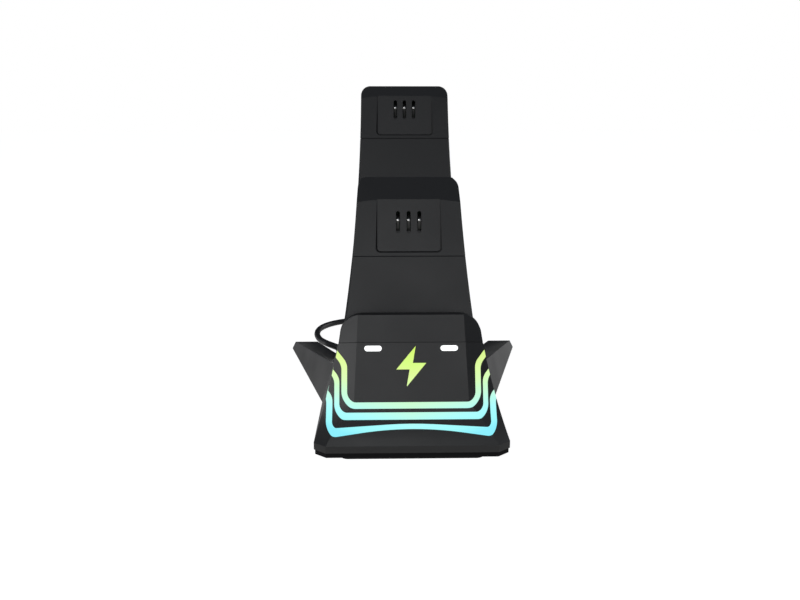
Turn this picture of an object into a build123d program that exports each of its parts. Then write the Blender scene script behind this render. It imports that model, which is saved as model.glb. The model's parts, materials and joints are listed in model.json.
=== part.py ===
"""Charging dock for two game controllers that stand one behind the other.

A flared base with swept legs carries a low front block and two leaning towers.  Each tower has a
recessed pocket with three sprung leaf contacts.  Three U-shaped light strips run round the flare.

X points right, Y to the back and Z up.  Sizes are in millimetres.  While the pieces are made, Y
counts from the front edge of the base, and at the end everything moves to the middle of the depth.
"""
from build123d import *
import os
from math import cos, hypot, pi, radians, sin, sqrt, tan

# Layout of the faces and of the two contact rows
depth = 164.0                 # front edge of the base to the leg tips
lean_deg = 18.0               # all front faces lean back by this angle
row_y = 58.3                  # middle contact row, on the tower's front face
row_z = 94.6
step_back = 78.1              # from the middle row to the rear row
step_up = 51.7
seat_below_row = 58.2         # along the face, from a contact row down to its seat
seat_flat = 6.1               # flat floor of a seat, in front of the tower's face
lip_back_rise = 13.6          # back edge of the lip's crest, above the seat
lip_back_ahead = 17.4         # the same edge, ahead of the tower's face

# Walls and clearances
wall = 2.4
fit = 0.2                     # between pieces that slide into each other
seam = 0.22                   # chamfer on both sides of a parting line
crest_round = 0.8             # along the top of the front lip

# Front block and skirt
block_ahead = 20.85           # the block's face ahead of the middle tower's face
lip_rise = 12.1               # the block's face above its parting line
panel_height = 25.8           # the block's face below its parting line
skirt_z = 6.1                 # crease between the lower wall and the skirt
base_z = 3.0                  # lower edge of the housing
crown_half = 30.4             # half width of the block at its crest
crown_radius = 13.5           # rounded upper corners of the block
skirt_half = 42.1             # half width at the skirt's crease
flare_power = 1.45            # how late the sides flare out
panel_half_top = 23.2         # flat centre panel, half width
panel_half_foot = 25.0
panel_half_skirt = 36.8
corner_depth_top = 5.0        # how far the corner facets run back
corner_depth_skirt = 4.6
tail_slope_deg = 45.0         # the housing's rear slope
tail_behind_face = 12.0       # the slope's start behind the middle tower's face

# Legs: bottom edge, ridge and inner edge at the root and at the tip
leg_root_y = 50.0
root_outer, root_ridge, root_inner = 39.5, 33.1, 1.3
root_ridge_z, root_inner_z = 25.2, 9.9
tip_outer, tip_ridge, tip_inner = 68.7, 66.6, 53.1
tip_top_z = 5.2
tip_bottom_z = 1.0
leg_hollow_end = 128.0

# Towers
middle_narrow = 22.5          # half width that the flare starts from
rear_narrow = 23.8
tower_flare = 15.35
flare_height = 158.0
flare_bend = 2.0
parting_below_row = 17.3
middle_face_above_row = 9.4
rear_face_above_row = 6.3
middle_bevel = 14.0           # length of the bevel at the top of the middle tower's face
rear_bevel = 7.9
bevel_deg = 45.0
top_corner = 5.0              # rounded upper corners of a tower
mitre_start, mitre_end = 0.66, 0.90   # a corner facet's crease, in shares of the half width
mitre_rise = 0.65             # how far up the bevel the crease runs
mitre_drop = 1.0              # the facet's outer end, below the bevel
edge_chamfer = 0.5            # upright front edges of the towers
back_foot_y = 147.0           # back of the rear tower at the floor
back_lean_deg = 3.0
tail_chamfer_x = 12.0         # rear corners, at the floor
tail_chamfer_y = 10.0

# Contact pockets and contacts
pitch = 5.0
pocket_width = 29.5
pocket_below_row = 14.7
pocket_depth = 1.2            # at its lower end
pocket_brow_depth = 0.2       # at the bevel
pocket_slope_deg = 35.0       # the pocket's walls, away from the upright
pocket_corner = 1.5
slot_width = 1.9
slot_above, slot_below = 4.2, 6.3
leaf_width = 1.2
leaf_thickness = 0.3
leaf_bend = 1.1               # radius of the bump, at the middle of the strip
bump_proud = 1.2              # the bump stands this far above the pocket's deepest line
root_below = 5.0              # rolled root of the leaf, below the row
root_behind = 1.3             # the same, behind the inside of the wall
root_radius = 0.7
tip_above = 3.3               # free end of the leaf, above the row
tip_behind = 0.8
running = 0.1                 # round the rolled root
carrier_height, carrier_depth, carrier_width = 8.0, 4.6, 27.0
carrier_over_root = 1.3       # the carrier's top above the middle of the rolled roots
stake_radius = 1.1
stake_spacing = 22.0
board_thickness = 1.2
contact_board_height = 17.0

# Light strips: centre line in the front view, from the middle outwards
strip_run_widths = (2.45, 2.6, 0.8)    # at the middle, before the bow is rounded
strip_corner_widths = (2.45, 2.6, 3.1)
strip_arm_widths = (2.4, 2.1, 2.6)
strip_corner_z = (19.8, 15.7, 9.85)
strip_bow = (0.0, 0.0, 2.8)   # rise of the run's middle above its corners, before it is rounded
strip_arm_x = (29.3, 32.6, 35.9)
strip_arm_z = (36.2, 30.0, 22.0)
strip_end_x = (34.6, 37.2, 39.8)
strip_end_z = (41.5, 34.6, 25.9)
strip_corner_radii = (5.2, 4.2, 3.2)   # at the corner's centre line
strip_bow_radius = 200.0
strip_bend_radius = 5.0
strip_reach = 26.0            # the strips end this far back on the sides

# Status lights and the lit mark, on the block's face
pill_spacing = 33.3
pill_length, pill_height = 7.5, 2.3
pill_below_seam = 2.5
mark_below_seam = 10.3
mark_height = 17.4
mark_width = 13.0
lens_depth = 4.0              # lights reach this far in from the face

# Boards inside
light_board_width, light_board_height = 50.0, 27.0
light_board_below_seam = 3.2
light_board_behind = 9.0
light_post_below_seam = 14.0
light_post_spacing = 42.0
led_size, led_height = 2.8, 0.9
led_row_x = (7.0, 21.0)       # lamps of the lower row, from the middle
main_board_width, main_board_length = 44.0, 46.0
main_board_thickness = 1.6
main_board_front = 38.0
post_height = 4.0
post_radius = 2.2
lead_way_width, lead_way_height = 18.0, 9.0
chip_size, chip_height = 9.0, 1.4
regulator_x, chip_step = 12.0, 8.0

# Underside
plate_z = 0.8                 # underside of the bottom plate
plate_thickness = 2.4
plate_step = 0.5              # the plate's rim, in from the housing's wall
foot_half, foot_front, foot_length = 30.7, 0.9, 14.0
rear_foot_width, rear_foot_length = 9.0, 8.0
screw_radius, screw_head_radius = 1.4, 2.7
screw_head = 1.2
screw_length = 9.0
recess_width, recess_length, recess_depth = 0.8, 3.2, 0.7
boss_radius = 3.2
front_screw = (34.0, 22.0)
leg_screw = (43.0, 96.0)

# Rear cover
cover_half, cover_low, cover_high = 11.0, 22.0, 112.0
cover_thickness = 1.2
cover_lip = 3.5
cover_screw_radius = 1.0
cover_boss = 5.0              # the bosses reach this far in behind the wall

# Cable, with its free length put away in a coil
cable_diameter = 3.8
gland_z = 5.2
gland_length = 11.0
gland_root, gland_end = 3.2, 2.4
gland_collar = 0.7
cable_straight = 9.0          # the cable keeps the gland's direction this far
cable_route = [(-49.2, 169.5, 1.2), (-53.4, 181.0, 0.0), (-56.2, 194.0, 0.0), (-55.4, 207.2, 0.0),
               (-49.8, 218.6, 0.0), (-40.6, 226.2, 0.0), (-29.6, 230.4, 0.0), (-18.2, 232.5, 0.0),
               (-5.6, 233.15, 0.0)]
coil_middle = (8.0, 258.0)
coil_mean_radius = 21.0
coil_section = 11.6
plug_grip = (12.0, 20.0, 7.0)
plug_shell = (12.0, 14.0, 4.5)
plug_wall = 0.4
plug_window = 2.4             # the square holes in the shell
plug_after_coil = 26.0        # the grip starts this far behind the coil's middle
plug_nose = 11.2

lean, bevel = radians(lean_deg), radians(bevel_deg)
middle_row = (row_y, row_z)
rear_row = (row_y + step_back, row_z + step_up)
plate_top = plate_z + plate_thickness
big = 400.0                   # longer than the dock, for cutting solids


def on_face(row, up, out=0.0):
    """The (y, z) of a point up the leaning face from a contact row, and out in front of it."""
    y = row[0] + up * sin(lean) - out * cos(lean)
    z = row[1] + up * cos(lean) + out * sin(lean)
    return y, z


def face_at(row, z):
    """The (y, z) of the leaning face of a row at height z."""
    return row[0] + (z - row[1]) * tan(lean), z


def back_at(z):
    """The (y, z) of the rear tower's back at height z."""
    return back_foot_y + z * tan(radians(back_lean_deg)), z


def face_plane(row, up, out=0.0, x=0.0):
    """A plane on a leaning face: its x points right, its y up the face and its z to the front."""
    y, z = on_face(row, up, out)
    return Plane(origin=(x, y, z), x_dir=(1, 0, 0), z_dir=(0, -cos(lean), sin(lean)))


def polygon(points):
    return make_face(Polyline(*points, close=True))


def side_prism(points, inset=0.0):
    """A solid as wide as needed with this outline of (y, z) points in the side view."""
    face = polygon(points)
    if inset:
        face = offset(face, amount=-inset, kind=Kind.INTERSECTION)
    return extrude(Plane.YZ * face, amount=big / 2, both=True)


def front_prism(face):
    """A solid as deep as needed with this face of (x, z) in the front view."""
    return extrude(Plane.XZ * face, amount=big, both=True)


def beyond(point, normal):
    """Everything beyond a plane through a (x, y, z) point."""
    plane = Plane(origin=point, z_dir=normal)
    return extrude(plane * Rectangle(2 * big, 2 * big), amount=2 * big)


def level_slab(z_low, z_high):
    return Pos(0, 0, (z_low + z_high) / 2) * Box(2 * big, 2 * big, z_high - z_low)


def both_sides(part):
    return part + mirror(part, about=Plane.YZ)


# The flared housing of the base

seam_point = on_face(middle_row, -seat_below_row, block_ahead)
crest_point = on_face(middle_row, -seat_below_row + lip_rise, block_ahead)
foot_point = on_face(middle_row, -seat_below_row - panel_height, block_ahead)
crown_z = crest_point[1]
skirt_chord = hypot(foot_point[0], foot_point[1] - skirt_z)
skirt_sag = foot_point[0] * cos(lean) - (foot_point[1] - skirt_z) * sin(lean)
skirt_radius = skirt_chord ** 2 / (2 * skirt_sag)


def front_at(z):
    """Y of the front surface: a concave arc up the skirt, then the leaning face of the block."""
    if z >= foot_point[1]:
        return foot_point[0] + (z - foot_point[1]) * tan(lean)
    centre_y = foot_point[0] - skirt_radius * cos(lean)
    centre_z = foot_point[1] + skirt_radius * sin(lean)
    return centre_y + sqrt(skirt_radius ** 2 - (z - centre_z) ** 2)


def hull_half(z):
    share = max(crown_z - z, 0.0) / (crown_z - skirt_z)
    return crown_half + (skirt_half - crown_half) * share ** flare_power


def panel_half(z):
    if z >= foot_point[1]:
        share = (crown_z - z) / (crown_z - foot_point[1])
        return panel_half_top + (panel_half_foot - panel_half_top) * share
    share = (foot_point[1] - z) / (foot_point[1] - skirt_z)
    return panel_half_foot + (panel_half_skirt - panel_half_foot) * share


def hull_section(z, inset):
    """One level of the housing: centre panel, two corner facets, two sides and the back."""
    share = (crown_z - z) / (crown_z - skirt_z)
    corner = corner_depth_top + (corner_depth_skirt - corner_depth_top) * share
    front, half, panel = front_at(z), hull_half(z), panel_half(z)
    right = [(panel, front), (half, front + corner), (half, depth / 2)]
    face = polygon(right + [(-x, y) for x, y in reversed(right)])
    if inset:
        face = offset(face, amount=-inset, kind=Kind.INTERSECTION)
    return Pos(0, 0, z) * face


def hull_form(inset, bottom):
    """The flared body before it is cut: lower wall, concave skirt and block."""
    top = crown_z + wall
    skirt = [skirt_z + (foot_point[1] - skirt_z) * i / 3 for i in range(4)]
    block = [foot_point[1] + (top - foot_point[1]) * i / 3 for i in range(4)]
    form = loft([hull_section(z, inset) for z in skirt])
    form += loft([hull_section(z, inset) for z in block])
    return form + extrude(hull_section(skirt_z, inset), amount=bottom - skirt_z, dir=(0, 0, 1))


def leg_section(y, inset, bottom=None):
    """The leg cut across at y: bottom edge, ridge, inner edge."""
    share = (y - leg_root_y) / (depth - leg_root_y)

    def between(root, tip):
        return root + (tip - root) * share

    low = between(base_z, tip_bottom_z)
    outer, ridge = between(root_outer, tip_outer), between(root_ridge, tip_ridge)
    inner, inner_z = between(root_inner, tip_inner), between(root_inner_z, tip_top_z)
    ridge_z = between(root_ridge_z, tip_top_z)
    if bottom is not None:
        outer += (outer - ridge) / (ridge_z - low) * (low - bottom)
        low = bottom
    face = polygon([(inner, low), (outer, low), (ridge, ridge_z), (inner, inner_z)])
    if inset:
        face = offset(face, amount=-inset, kind=Kind.INTERSECTION)
    return Plane((0, y, 0), x_dir=(1, 0, 0), z_dir=(0, -1, 0)) * face


def leg_form():
    return loft([leg_section(leg_root_y, 0), leg_section(depth, 0)], ruled=True)


def leg_hollow(inset):
    low = plate_z - 2 * inset
    return loft([leg_section(leg_root_y, inset, low), leg_section(leg_hollow_end, inset, low)], ruled=True)


# The towers

def tower_half(z, narrow):
    return narrow + tower_flare * ((flare_height - min(z, flare_height)) / flare_height) ** flare_bend


def tower_outline(narrow, z_low, z_high, inset, corner=0.0):
    """Front view of a tower between two heights, with flared sides and rounded upper corners."""
    heights = [z_low + (z_high - z_low) * i / 4 for i in range(5)]
    right = [(tower_half(z, narrow) - inset, z) for z in heights]
    left = [(-x, z) for x, z in reversed(right)]
    edges = [Spline(*right), Line(right[-1], left[0]), Spline(*left), Line(left[-1], right[0])]
    face = make_face(edges)
    if corner:
        face = fillet(face.vertices().sort_by(Axis.Y)[-2:], corner)
    return face


def tail_corners(inset):
    """What the upright chamfers take off the rear tower's two rear corners."""
    back_y, _ = back_at(plate_top)
    half = tower_half(plate_top, rear_narrow)
    length = hypot(tail_chamfer_x, tail_chamfer_y)
    normal = (tail_chamfer_y / length, tail_chamfer_x / length, 0)
    middle = (half - tail_chamfer_x / 2, back_y - tail_chamfer_y / 2, plate_top)
    moved = [m - inset * n for m, n in zip(middle, normal)]
    return both_sides(beyond(moved, normal))


middle_parting = on_face(middle_row, -parting_below_row)
rear_parting = on_face(rear_row, -parting_below_row)
middle_brow = on_face(middle_row, middle_face_above_row)
rear_brow = on_face(rear_row, rear_face_above_row)
middle_top = (middle_brow[0] + middle_bevel * sin(bevel), middle_brow[1] + middle_bevel * cos(bevel))
rear_top = (rear_brow[0] + rear_bevel * sin(bevel), rear_brow[1] + rear_bevel * cos(bevel))
rear_lip = on_face(rear_row, -seat_below_row + lip_back_rise, lip_back_ahead)
rear_seat_front = on_face(rear_row, -seat_below_row, seat_flat)
rear_seat_back = on_face(rear_row, -seat_below_row)
carrier_middle_below = root_below - carrier_over_root + carrier_height / 2


def middle_tower_form(inset, low, high):
    front = [face_at(middle_row, low), face_at(middle_row, high)]
    back = [face_at(rear_row, high), face_at(rear_row, low)]
    return side_prism(front + back, inset) & front_prism(tower_outline(middle_narrow, low, high, inset))


def rear_tower_form(inset, low, high):
    points = [face_at(rear_row, low), face_at(rear_row, high), back_at(high), back_at(low)]
    form = side_prism(points, inset) & front_prism(tower_outline(rear_narrow, low, high, inset))
    return form - tail_corners(inset)


def middle_cap_form(inset, low):
    points = [face_at(middle_row, low), middle_brow, middle_top, rear_lip, rear_seat_front, rear_seat_back,
              face_at(rear_row, low)]
    outline = tower_outline(middle_narrow, low, middle_top[1] - inset, inset, top_corner - inset)
    return side_prism(points, inset) & front_prism(outline)


def rear_cap_form(inset, low):
    points = [face_at(rear_row, low), rear_brow, rear_top, back_at(rear_top[1]), back_at(low)]
    outline = tower_outline(rear_narrow, low, rear_top[1] - inset, inset, top_corner - inset)
    return (side_prism(points, inset) & front_prism(outline)) - tail_corners(inset)


def upright_front_edges(form, row):
    """The two edges beside a form's leaning front face."""
    plane = face_plane(row, 0)
    face = min(form.faces(), key=lambda f: abs(plane.to_local_coords(f.center()).Z))
    return [e for e in face.edges() if abs(e.tangent_at(0.5).X) < 0.7]


def tower_shell(form, row, low, high):
    """A tower wall, open at both ends, with a small chamfer where the cap sits on it."""
    solid = form(0, low, high)
    solid = chamfer(upright_front_edges(solid, row), edge_chamfer)
    solid = chamfer(solid.faces().sort_by(Axis.Z)[-1].edges(), seam)
    return solid - form(wall, low - 4 * wall, high + 4 * wall)


def contact_xs():
    return [-pitch, 0.0, pitch]


def pocket_plane(row, face_above_row):
    """The pocket's floor, which runs out towards the bevel: its y points up, its z to the front."""
    low = on_face(row, -pocket_below_row, -pocket_depth)
    high = on_face(row, face_above_row, -pocket_brow_depth)
    return Plane(origin=(0, *low), x_dir=(1, 0, 0), z_dir=(0, low[1] - high[1], high[0] - low[0]))


def cap_details(cap, row, face_above_row):
    """The pocket, the three slots and the two stakes behind the pocket."""
    tall = pocket_below_row + step_up
    pocket = fillet(Rectangle(pocket_width, tall).vertices().sort_by(Axis.Y)[:2], pocket_corner)
    pocket = pocket_plane(row, face_above_row) * Pos(0, tall / 2) * pocket
    cap -= extrude(pocket, amount=2 * pocket_depth, taper=-pocket_slope_deg)
    slot = SlotOverall(slot_above + slot_below, slot_width, rotation=90)
    for x in contact_xs():
        plane = face_plane(row, (slot_above - slot_below) / 2, 0, x)
        cap -= extrude(plane * slot, amount=-2 * wall)
    for side in (-1, 1):
        plane = face_plane(row, -carrier_middle_below, -wall, side * stake_spacing / 2)
        cap += extrude(plane * Circle(stake_radius), amount=-(carrier_depth + 2 * board_thickness))
    return cap


def corner_facets(row, narrow, face_above_row, bevel_length):
    """What two slight facets take off where a tower's bevel meets its sides."""
    brow = on_face(row, face_above_row)
    edge = on_face(row, face_above_row - mitre_drop)
    rise = mitre_rise * bevel_length
    half = tower_half(brow[1], narrow)
    start = Vector(mitre_start * half, *brow)
    end = Vector(mitre_end * half, brow[0] + rise * sin(bevel), brow[1] + rise * cos(bevel))
    normal = (Vector(half, *edge) - start).cross(end - start)
    return both_sides(beyond(start, normal))


def tower_cap(form, row, low, narrow, face_above_row, bevel_length):
    solid = form(0, low) - corner_facets(row, narrow, face_above_row, bevel_length)
    solid = chamfer(solid.faces().sort_by(Axis.Z)[0].edges(), seam)
    return cap_details(solid - form(wall, low - 4 * wall), row, face_above_row)


def middle_cap():
    sizes = middle_narrow, middle_face_above_row, middle_bevel
    return tower_cap(middle_cap_form, middle_row, middle_parting[1], *sizes)


def rear_cap():
    sizes = rear_narrow, rear_face_above_row, rear_bevel
    return tower_cap(rear_cap_form, rear_row, rear_parting[1], *sizes)


# Contacts, with their carriers and boards

def leaf_plane(row, x):
    """A plane across a contact: its x points up the face, its y to the front."""
    y, z = row
    return Plane(origin=(x, y, z), x_dir=(0, sin(lean), cos(lean)), z_dir=(1, 0, 0))


leaf_root = (-root_below, -wall - root_behind)
leaf_crown = (0.0, bump_proud - pocket_depth)
leaf_tip = (tip_above, -wall - tip_behind)


def contact(row, x):
    """A sprung strip: rolled root, a bump that stands out of the slot, and a free end inside."""
    path = FilletPolyline(leaf_root, leaf_crown, leaf_tip, radius=leaf_bend)
    strip = trace(path, line_width=leaf_thickness) + Pos(*leaf_root) * Circle(root_radius)
    plane = leaf_plane(row, x - leaf_width / 2)
    return extrude(plane * strip, amount=leaf_width)


def contact_carrier(row):
    """The insulating block that holds the three rolled roots in round-bottomed slots."""
    body = Rectangle(carrier_width, carrier_height)
    carrier = extrude(face_plane(row, -carrier_middle_below, -wall) * body, amount=-carrier_depth)
    top = carrier_height / 2 - carrier_middle_below
    across = root_radius + running
    for x in contact_xs():
        groove = Pos(*leaf_root) * Circle(across)
        mouth_top = top + across
        mouth_front = -wall + across
        mouth = polygon([(leaf_root[0], leaf_root[1] - across), (mouth_top, leaf_root[1] - across),
                         (mouth_top, mouth_front), (leaf_root[0], mouth_front)])
        plane = leaf_plane(row, x - slot_width / 2)
        carrier -= extrude(plane * (groove + mouth), amount=slot_width)
    return carrier - stakes(row, running)


def stakes(row, clear):
    """The two stakes of a cap, grown by a clearance."""
    made = Part()
    for side in (-1, 1):
        plane = face_plane(row, -carrier_middle_below, 0, side * stake_spacing / 2)
        made += extrude(plane * Circle(stake_radius + clear), amount=-big / 10)
    return made


def contact_board(row):
    up = -carrier_middle_below - carrier_height / 2 + contact_board_height / 2
    plane = face_plane(row, up, -wall - carrier_depth)
    board = extrude(plane * Rectangle(carrier_width, contact_board_height), amount=-board_thickness)
    return board - stakes(row, running)


# Lights

def strip_band(i, clear):
    """Front view of one U-shaped strip: a wide run along the bottom, two arms and two outward ends."""
    run = strip_run_widths[i] / 2 + clear
    corner = strip_corner_widths[i] / 2 + clear
    arm = strip_arm_widths[i] / 2 + clear
    far = strip_end_x[i] + strip_reach

    def edge(side):
        """One edge of the strip, on the outer (1) or inner (-1) side of its centre line."""
        bend = side * arm * tan(pi / 8)
        right = [(strip_arm_x[i] + side * arm, strip_corner_z[i] - side * corner),
                 (strip_arm_x[i] + side * arm, strip_arm_z[i] - bend),
                 (strip_end_x[i] + bend, strip_end_z[i] - side * arm),
                 (far, strip_end_z[i] - side * arm)]
        left = [(-x, z) for x, z in reversed(right)]
        middle = [(0, strip_corner_z[i] + strip_bow[i] - side * run)] if strip_bow[i] else []
        bends = [strip_bend_radius, strip_bend_radius, strip_corner_radii[i] + side * arm]
        radii = bends + [strip_bow_radius] * len(middle) + bends[::-1]
        return FilletPolyline(*left, *middle, *right, radius=radii)

    outer, inner = edge(1), edge(-1)
    return make_face([outer, inner, Line(outer @ 0, inner @ 0), Line(outer @ 1, inner @ 1)])


def light_strip(i, clear, skin):
    """The part of the housing's skin that a strip takes up."""
    return extrude(Plane.XZ * strip_band(i, clear), amount=-strip_reach - clear) & skin


def housing_skin():
    return hull_form(0, base_z) - hull_form(wall, base_z - wall)


def light_plane(below_seam, x=0.0, behind=0.0):
    """A plane on the block's face, below the parting line."""
    return face_plane(middle_row, -seat_below_row - below_seam, block_ahead - behind, x)


def status_light(x, clear):
    pill = SlotOverall(pill_length + 2 * clear, pill_height + 2 * clear)
    return extrude(light_plane(pill_below_seam, x) * pill, amount=-lens_depth)


def lit_mark(clear):
    """A plain charging bolt, the same when it is turned half round."""
    half = [(0.15 * mark_width, 0.5 * mark_height), (-0.5 * mark_width, -0.08 * mark_height),
            (-0.05 * mark_width, -0.08 * mark_height)]
    bolt = polygon(half + [(-x, -y) for x, y in half])
    if clear:
        bolt = offset(bolt, amount=clear, kind=Kind.INTERSECTION)
    return extrude(light_plane(mark_below_seam) * bolt, amount=-lens_depth)


# Housing of the base and the cap on its front block

def above_seat(drop):
    y, z = on_face(middle_row, -seat_below_row - drop)
    return beyond((0, y, z), (0, sin(lean), cos(lean)))


def behind_tail(inset):
    """What the slope at the rear of the housing takes off."""
    slope = radians(tail_slope_deg)
    y, z = on_face(middle_row, -seat_below_row, -tail_behind_face)
    return beyond((0, y - inset * sin(slope), z - inset * cos(slope)), (0, sin(slope), cos(slope)))


def cavity(inset, bottom):
    """The hollow of the base, without the room inside the towers."""
    hollow = hull_form(inset, bottom) - above_seat(inset) - behind_tail(inset)
    return hollow + both_sides(leg_hollow(inset))


def towers(inset, low):
    return middle_tower_form(inset, low, middle_parting[1]) + rear_tower_form(inset, low, middle_parting[1])


def screw_places():
    return [(side * x, y) for x, y in (front_screw, leg_screw) for side in (-1, 1)]


def light_posts(radius, front, back):
    """Posts from the front wall to the light board, between two distances behind the face."""
    posts = Part()
    for side in (-1, 1):
        plane = light_plane(light_post_below_seam, side * light_post_spacing / 2, front)
        posts += extrude(plane * Circle(radius), amount=front - back)
    return posts


def base_housing():
    outer = hull_form(0, base_z) - above_seat(0) - behind_tail(0) + both_sides(leg_form())
    housing = outer - cavity(wall, plate_z - wall)
    for x, y in screw_places():
        boss = Pos(x, y, plate_top + big / 2) * Cylinder(boss_radius, big)
        pilot = Pos(x, y, plate_z) * Cylinder(screw_radius + running, 2 * screw_length)
        housing += (boss & outer) - pilot
    housing += light_posts(post_radius, wall / 2, light_board_behind)
    housing += light_posts(stake_radius, wall / 2, light_board_behind + 2 * board_thickness)
    housing -= towers(-fit, plate_z - wall)
    skin = housing_skin()
    for i in range(len(strip_run_widths)):
        housing -= light_strip(i, running, skin)
    for side in (-1, 1):
        housing -= status_light(side * pill_spacing / 2, running)
    return housing - lit_mark(running)


def front_cap_form(inset, drop):
    """The lip in front of the first seat, with the housing's facets and rounded upper corners."""
    back_slope = (lip_back_ahead - seat_flat) / lip_back_rise
    crest_slope = (lip_back_rise - lip_rise) / (block_ahead - lip_back_ahead)
    ahead = block_ahead + 4 * wall
    local = [(-drop, seat_flat - drop * back_slope), (lip_back_rise, lip_back_ahead),
             (lip_rise - 4 * wall * crest_slope, ahead), (-drop, ahead)]
    points = [on_face(middle_row, up - seat_below_row, out) for up, out in local]
    lip_top = on_face(middle_row, lip_back_rise - seat_below_row, lip_back_ahead)[1]
    low, shoulder = base_z, seam_point[1]
    right = [(hull_half(low) + inset, low), (hull_half(shoulder), shoulder), (crown_half, lip_top)]
    crown = polygon(right + [(-x, z) for x, z in reversed(right)])
    crown = fillet(crown.vertices().sort_by(Axis.Y)[-2:], min(crown_radius, 0.95 * (lip_top - shoulder)))
    if inset:
        crown = offset(crown, amount=-inset, kind=Kind.INTERSECTION)
    return side_prism(points, inset) & front_prism(crown) & hull_form(inset, base_z)


def front_cap():
    cap = front_cap_form(0, 0)
    seat = face_plane(middle_row, -seat_below_row)
    under = min(cap.faces(), key=lambda f: abs(seat.to_local_coords(f.center()).Y))
    cap = chamfer(under.edges(), seam)
    crest = cap.faces().sort_by(Axis.Z)[-1]
    cap = fillet(crest.edges().filter_by(Axis.X), crest_round)
    return cap - front_cap_form(wall, 4 * wall)


# Pieces of the underside

def bottom_plate():
    slab = level_slab(plate_z, plate_top)
    plate = (cavity(wall + fit, plate_z - wall) & slab) + (towers(0, plate_z - wall) & slab)
    rim = hull_form(plate_step, plate_z - wall) - behind_tail(plate_step) - both_sides(leg_form())
    plate += rim & level_slab(plate_z, base_z)
    for x, y in screw_places():
        plate -= Pos(x, y, plate_z) * Cylinder(screw_radius + fit, 4 * plate_thickness)
        plate -= Pos(x, y, plate_z) * Cylinder(screw_head_radius + fit, 2 * screw_head)
    for x, y in main_board_posts():
        plate += Pos(x, y, plate_top + post_height / 2) * Cylinder(post_radius, post_height)
        stake = post_height + 2 * main_board_thickness
        plate += Pos(x, y, plate_top + stake / 2) * Cylinder(stake_radius, stake)
    return plate - gland_room()


def main_board_posts():
    x = main_board_width / 2 - 2 * post_radius
    near, far = main_board_front + 2 * post_radius, main_board_front + main_board_length - 2 * post_radius
    return [(side * x, y) for y in (near, far) for side in (-1, 1)]


def main_board():
    """The charging board, with its controller, two regulators and a socket for the cable."""
    low = plate_top + post_height
    middle_y = main_board_front + main_board_length / 2
    blank = Box(main_board_width, main_board_length, main_board_thickness)
    board = Pos(0, middle_y, low + main_board_thickness / 2) * blank
    top = low + main_board_thickness
    controller = (0, 0, chip_size, chip_height)
    regulators = [(side * regulator_x, chip_step, chip_size / 2, chip_height) for side in (-1, 1)]
    socket = (0, 2 * chip_step, chip_size, 3 * chip_height)
    for x, y, size, height in [controller, *regulators, socket]:
        board += Pos(x, middle_y + y, top + height / 2) * Box(size, size, height)
    for x, y in main_board_posts():
        board -= Pos(x, y, low) * Cylinder(stake_radius + running, 4 * main_board_thickness)
    return board


def light_board():
    plane = light_plane(light_board_below_seam + light_board_height / 2, 0, light_board_behind)
    board = extrude(plane * Rectangle(light_board_width, light_board_height), amount=-board_thickness)
    return board - light_posts(stake_radius + running, 0, light_board_behind + 4 * board_thickness)


def light_packages():
    """One small lamp behind each status light, two behind the mark and a row behind the strips."""
    low = light_board_below_seam + light_board_height - led_size
    pills = [(side * pill_spacing / 2, light_board_below_seam + led_size / 2) for side in (-1, 1)]
    marks = [(0, mark_below_seam + side * mark_height / 4) for side in (-1, 1)]
    row = [(side * x, low) for x in led_row_x for side in (-1, 1)]
    made = Part()
    for x, below in pills + marks + row:
        plane = light_plane(below, x, light_board_behind)
        made += extrude(plane * Rectangle(led_size, led_size), amount=led_height)
    return made


def front_foot():
    pad = RectangleRounded(2 * foot_half, foot_length, foot_length / 4)
    return extrude(Pos(0, foot_front + foot_length / 2) * pad, amount=plate_z)


def rear_foot(side):
    y = depth - rear_foot_length
    share = (y - leg_root_y) / (depth - leg_root_y)
    x = (root_inner + root_outer) / 2 * (1 - share) + (tip_inner + tip_outer) / 2 * share
    outline = RectangleRounded(rear_foot_width, rear_foot_length, rear_foot_length / 4)
    pad = extrude(Pos(side * x, y) * outline, amount=base_z)
    return pad - both_sides(leg_form())


def bottom_screws():
    """Screws with a cross recess in the head."""
    made = Part()
    bar = Box(recess_width, recess_length, 2 * recess_depth)
    recess = bar + Rot(0, 0, 90) * bar
    for x, y in screw_places():
        made += Pos(x, y, plate_z + screw_head / 2) * Cylinder(screw_head_radius, screw_head)
        made += Pos(x, y, plate_z + screw_length / 2) * Cylinder(screw_radius, screw_length)
        made -= Pos(x, y, plate_z) * recess
    return made


# Rear tower with its cover

def back_plane(z):
    """A plane on the rear tower's back: its y points down the back and its z backwards."""
    slope = radians(back_lean_deg)
    y, _ = back_at(z)
    return Plane(origin=(0, y, z), x_dir=(1, 0, 0), z_dir=(0, cos(slope), -sin(slope)))


cover_plane = back_plane((cover_low + cover_high) / 2)
cover_tall = cover_high - cover_low


def cover_outline(inset):
    return RectangleRounded(2 * (cover_half - inset), cover_tall - 2 * inset, cover_lip)


def cover_screw_planes():
    x, y = cover_half - cover_lip / 2, cover_tall / 2 - cover_lip / 2
    return [cover_plane * Pos(i * x, j * y) for i in (-1, 1) for j in (-1, 1)]


def rear_tower_shell():
    """The rear tower, with the opening at its back, the cable's hole and a way for the leads."""
    shell = tower_shell(rear_tower_form, rear_row, plate_top, rear_parting[1])
    for place in cover_screw_planes():
        shell += extrude(place * Circle(cover_lip / 2), amount=-wall - cover_boss)
    shell -= extrude(cover_plane * cover_outline(0), amount=-cover_thickness)
    shell -= extrude(cover_plane * cover_outline(cover_lip), amount=-2 * wall)
    for place in cover_screw_planes():
        shell -= extrude(place * Circle(cover_screw_radius + running), amount=-wall - cover_boss)
    shell -= extrude(gland_plane(0) * Circle(gland_root + running), amount=2 * wall, both=True)
    return shell - lead_way()


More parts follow.
